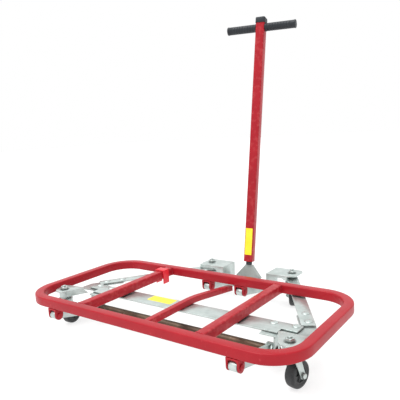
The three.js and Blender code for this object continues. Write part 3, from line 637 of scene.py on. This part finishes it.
def make_tyres():
    """Solid tyres with a crowned tread, a moulded shoulder line and a recessed side wall."""
    for corner in CORNERS:
        roll = JOINTS[f"roll_{corner}"]
        at = axis_matrix(roll["pos_m"], roll["axis"])
        wall = TYRE_RADIUS - TYRE_SHOULDER
        side = [(TYRE_BORE, TYRE_HALF - 1.2 * MM), (TYRE_BORE + 1.5 * MM, TYRE_HALF - 0.2 * MM),
                (wall - 1 * MM, TYRE_HALF)]
        side += [(wall + TYRE_SHOULDER * math.sin(t) * 0.96,
                  TYRE_HALF - TYRE_SHOULDER * 0.9 + TYRE_SHOULDER * 0.9 * math.cos(t))
                 for t in (math.pi / 2 * k / 6 for k in range(7))]
        side.append((TYRE_RADIUS, TYRE_HALF - TYRE_SHOULDER * 1.25))
        profile = side + [(r, -x) for r, x in reversed(side)]
        build = bmesh.new()
        lathe(build, profile, at, 72)
        finish_piece(f"solid_tyre_{corner}", build, RUBBER, f"wheel_{corner}",
                     [f"tyre_{corner}"])


def make_hubs():
    """Moulded wheel centres: rim, dished web with spokes and a bushing boss."""
    for corner in CORNERS:
        roll = JOINTS[f"roll_{corner}"]
        at = axis_matrix(roll["pos_m"], roll["axis"])
        build = bmesh.new()
        side = [(4.3 * MM, 15.8 * MM), (8.6 * MM, 15.8 * MM), (9.6 * MM, 15 * MM), (10.2 * MM, 9.5 * MM),
                (19 * MM, 8.5 * MM), (20 * MM, HUB_HALF - 0.6 * MM), (20.6 * MM, HUB_HALF),
                (23 * MM, HUB_HALF)]
        profile = side + [(r, -x) for r, x in reversed(side)]
        lathe(build, profile, at, 56)
        for k in range(HUB_RIBS):
            turn = at @ Matrix.Rotation(k * 2 * math.pi / HUB_RIBS, 4, "Z")
            for sign in (-1, 1):
                place = Matrix.Translation((14.6 * MM, 0, sign * 10 * MM))
                size = Matrix.Diagonal((11 * MM, 2.6 * MM, 4 * MM, 1))
                bmesh.ops.create_cube(build, size=1, matrix=turn @ place @ size)
        finish_piece(f"wheel_centre_{corner}", build, HUB, f"wheel_{corner}",
                     [f"wheel_hub_{corner}"])


def make_axle_bolts():
    for corner in CORNERS:
        roll = JOINTS[f"roll_{corner}"]
        at = axis_matrix(roll["pos_m"], roll["axis"])
        seat = AXLE_SEAT
        build = bmesh.new()
        hexagon(build, at, AXLE_NUT_ACROSS, seat + 1.2 * MM, seat + 6.4 * MM)
        hexagon(build, at, AXLE_NUT_ACROSS, -seat - 5.5 * MM, -seat - 0.1 * MM)
        cover = seat + 1.1 * MM
        lathe(build, [(4 * MM, seat), (8 * MM, seat), (8 * MM, cover), (4 * MM, cover)], at)
        lathe(build, [(0, -seat - 8 * MM), (3.4 * MM, -seat - 8 * MM), (4 * MM, -seat - 7.4 * MM),
                      (4 * MM, seat + 2 * MM), (0, seat + 2 * MM)], at, 32)
        finish_piece(f"axle_fastener_{corner}", build, ZINC, f"caster_{corner}",
                     [f"axle_bolt_{corner}"])


# ---- Handle

def handle_matrix(twist=HANDLE_TWIST):
    """Local Z up the handle from the rear shaft, X along the T-bar."""
    place = Matrix.Translation(JOINTS["handle_turn"]["pos_m"])
    return place @ Matrix.Rotation(-HANDLE_LEAN, 4, "X") @ Matrix.Rotation(twist, 4, "Z")


def make_handle_tube():
    build = bmesh.new()
    straight_tube(build, handle_matrix(), HANDLE_HALF, 4.5 * MM, TUBE_WALL, POST_FOOT, POST_TOP)
    finish_piece("handle_post", build, RED, "handle", ["handle_tube"])


def make_grips():
    """Plastic grips with a rolled inner collar, shallow finger rings and a domed end."""
    pitch = (GRIP_END - GRIP_START - 22 * MM) / GRIP_RINGS
    profile = [(GRIP_BORE, GRIP_START), (GRIP_RIM - 1 * MM, GRIP_START), (GRIP_RIM, GRIP_START + 1 * MM),
               (GRIP_RIM, GRIP_START + 4 * MM), (GRIP_RADIUS, GRIP_START + 5.5 * MM)]
    for k in range(GRIP_RINGS):
        z = GRIP_START + 10 * MM + k * pitch
        profile += [(GRIP_RADIUS, z), (GRIP_RADIUS - 0.5 * MM, z + 0.8 * MM), (GRIP_RADIUS, z + 1.6 * MM)]
    profile += [(GRIP_RADIUS, GRIP_END - 7 * MM), (GRIP_RIM, GRIP_END - 5.5 * MM),
                (GRIP_RIM, GRIP_END - 2 * MM), *dome(GRIP_RIM, 2 * MM, GRIP_END - 2 * MM),
                (0, GRIP_END - 4.5 * MM), (GRIP_BORE, GRIP_END - 4.5 * MM)]
    for side, sign in SIDES:
        outward = Matrix.Rotation(sign * math.pi / 2, 4, "Y")
        at = handle_matrix() @ Matrix.Translation((0, 0, GRIP_HEIGHT)) @ outward
        build = bmesh.new()
        lathe(build, profile, at, 56)
        finish_piece(f"handgrip_{side}", build, GRIP, "handle", [f"grip_{side}"])


def make_stub():
    build = bmesh.new()
    profile = [(0, 74.4 * MM), (11 * MM, 74.4 * MM), (12 * MM, 75.4 * MM), (12 * MM, 86 * MM),
               (11.2 * MM, 87 * MM), (8 * MM, 87.2 * MM), (8 * MM, 128 * MM), (11 * MM, 128 * MM),
               (11 * MM, 134 * MM), (0, 134 * MM)]
    lathe(build, profile, handle_matrix(0), 40)
    finish_piece("stub_pin", build, BLACK, "rear_rocker", ["swivel_stub"])


# ---- Labels

def rounded_panel(build, matrix, half_u, half_v, corner, thickness, steps=5):
    """Thin panel with round corners in the local XY plane, its outer face at local Z = thickness."""
    outline = []
    for quarter, (su, sv) in enumerate(((1, 1), (-1, 1), (-1, -1), (1, -1))):
        for step in range(steps + 1):
            angle = (quarter + step / steps) * math.pi / 2
            outline.append((su * (half_u - corner) + corner * math.cos(angle),
                            sv * (half_v - corner) + corner * math.sin(angle)))
    rings = [[matrix @ Vector((u, v, z)) for u, v in outline] for z in (0, thickness)]
    made = skin_rings(build, rings)
    build.faces.new(list(reversed(made[0])))
    build.faces.new(made[-1])


def make_labels():
    """Blank yellow labels on the handle's front face and on the base cross bar."""
    build = bmesh.new()
    place = Matrix.Translation((0, -HANDLE_HALF - 0.02 * MM, 166 * MM))
    on_front = handle_matrix() @ place @ Matrix.Rotation(math.pi / 2, 4, "X")
    rounded_panel(build, on_front, 14 * MM, 52 * MM, 1.2 * MM, 0.25 * MM)
    finish_piece("handle_label", build, LABEL, "handle")
    bar_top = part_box("base_cross_bar")[1].z
    build = bmesh.new()
    rounded_panel(build, Matrix.Translation((-81 * MM, -203 * MM, bar_top)), 50 * MM, 19.5 * MM,
                  1.5 * MM, 0.2 * MM)
    finish_piece("base_label", build, LABEL, "base")


# ---- CAD nodes that keep their own shape

def dress_cad_nodes():
    """Gives every CAD node its slot's material, and softens the edges of those that stay in view."""
    slots = {row["node"]: row["material_slot"] for row in frame["record"]["subparts"]}
    for node, obj in frame["nodes"].items():
        obj.data.materials.clear()
        obj.data.materials.append(YOKE if node == "yoke" else SLOT_MATERIALS[slots[node]])
        weld = obj.modifiers.new("merge", "WELD")
        weld.merge_threshold = 0.02 * MM
        flatten = obj.modifiers.new("flatten", "DECIMATE")
        flatten.decimate_type = "DISSOLVE"
        flatten.angle_limit = math.radians(1)
        soften(obj, SOFT_EDGE)
        for polygon in obj.data.polygons:
            polygon.use_smooth = True


# ---- Studio

def aim(obj, position, target):
    obj.location = position
    obj.rotation_mode = "QUATERNION"
    obj.rotation_quaternion = (Vector(target) - Vector(position)).to_track_quat("-Z", "Y")


def soft_sun(position, strength, spread_angle):
    """Wide even light from far away, shining toward the origin."""
    light = bpy.data.lights.new("key", "SUN")
    light.energy = strength
    light.angle = math.radians(spread_angle)
    obj = bpy.data.objects.new("key", light)
    bpy.context.scene.collection.objects.link(obj)
    aim(obj, position, (0, 0, 0))


def make_floor():
    material, tree, shader = new_material("pale_floor", 0.9)
    shader.inputs["Specular IOR Level"].default_value = 0.1
    colour = ramp(tree, noise(tree, 3, 2), [(0.4, grey(0.32)), (0.6, grey(0.33))])
    tree.links.new(colour, shader.inputs["Base Color"])
    shader.inputs["Emission Color"].default_value = (1, 1, 1, 1)
    shader.inputs["Emission Strength"].default_value = FLOOR_GLOW
    build = bmesh.new()
    bmesh.ops.create_grid(build, x_segments=1, y_segments=1, size=30)
    mesh = bpy.data.meshes.new("floor")
    build.to_mesh(mesh)
    build.free()
    mesh.materials.append(material)
    floor = bpy.data.objects.new("floor", mesh)
    bpy.context.scene.collection.objects.link(floor)


def make_world():
    world = bpy.data.worlds.new("studio")
    world.use_nodes = True
    background = world.node_tree.nodes["Background"]
    background.inputs["Color"].default_value = (1, 1, 1, 1)
    background.inputs["Strength"].default_value = 1.0
    bpy.context.scene.world = world


def make_camera():
    """Camera at the height of a standing person, in front and to the right, looking slightly down."""
    camera = bpy.data.cameras.new("camera")
    camera.sensor_width = 36
    camera.lens = CAMERA_LENS
    obj = bpy.data.objects.new("camera", camera)
    bpy.context.scene.collection.objects.link(obj)
    yaw, down, roll = CAMERA_YAW, CAMERA_DOWN, CAMERA_ROLL
    forward = Vector((math.sin(yaw) * math.cos(down), math.cos(yaw) * math.cos(down), -math.sin(down)))
    level = Vector((math.cos(yaw), -math.sin(yaw), 0))
    upright = level.cross(forward)
    right = math.cos(roll) * level + math.sin(roll) * upright
    up = -math.sin(roll) * level + math.cos(roll) * upright
    turn = Matrix((right, up, -forward)).transposed().to_4x4()
    obj.matrix_world = Matrix.Translation(CAMERA_PLACE) @ turn
    bpy.context.scene.camera = obj


make_camera()
make_world()
make_floor()
soft_sun(SUN_FROM, SUN_STRENGTH, SUN_SPREAD)
bpy.context.scene.view_settings.view_transform = "Standard"

dress_cad_nodes()
make_frame_loop()
make_crossbars()
make_crossbar_welds()
make_centre_bar()
make_clevis_pins()
make_rivets()
make_kingpins()
make_shafts()
make_tyres()
make_hubs()
make_axle_bolts()
make_handle_tube()
make_grips()
make_stub()
make_labels()
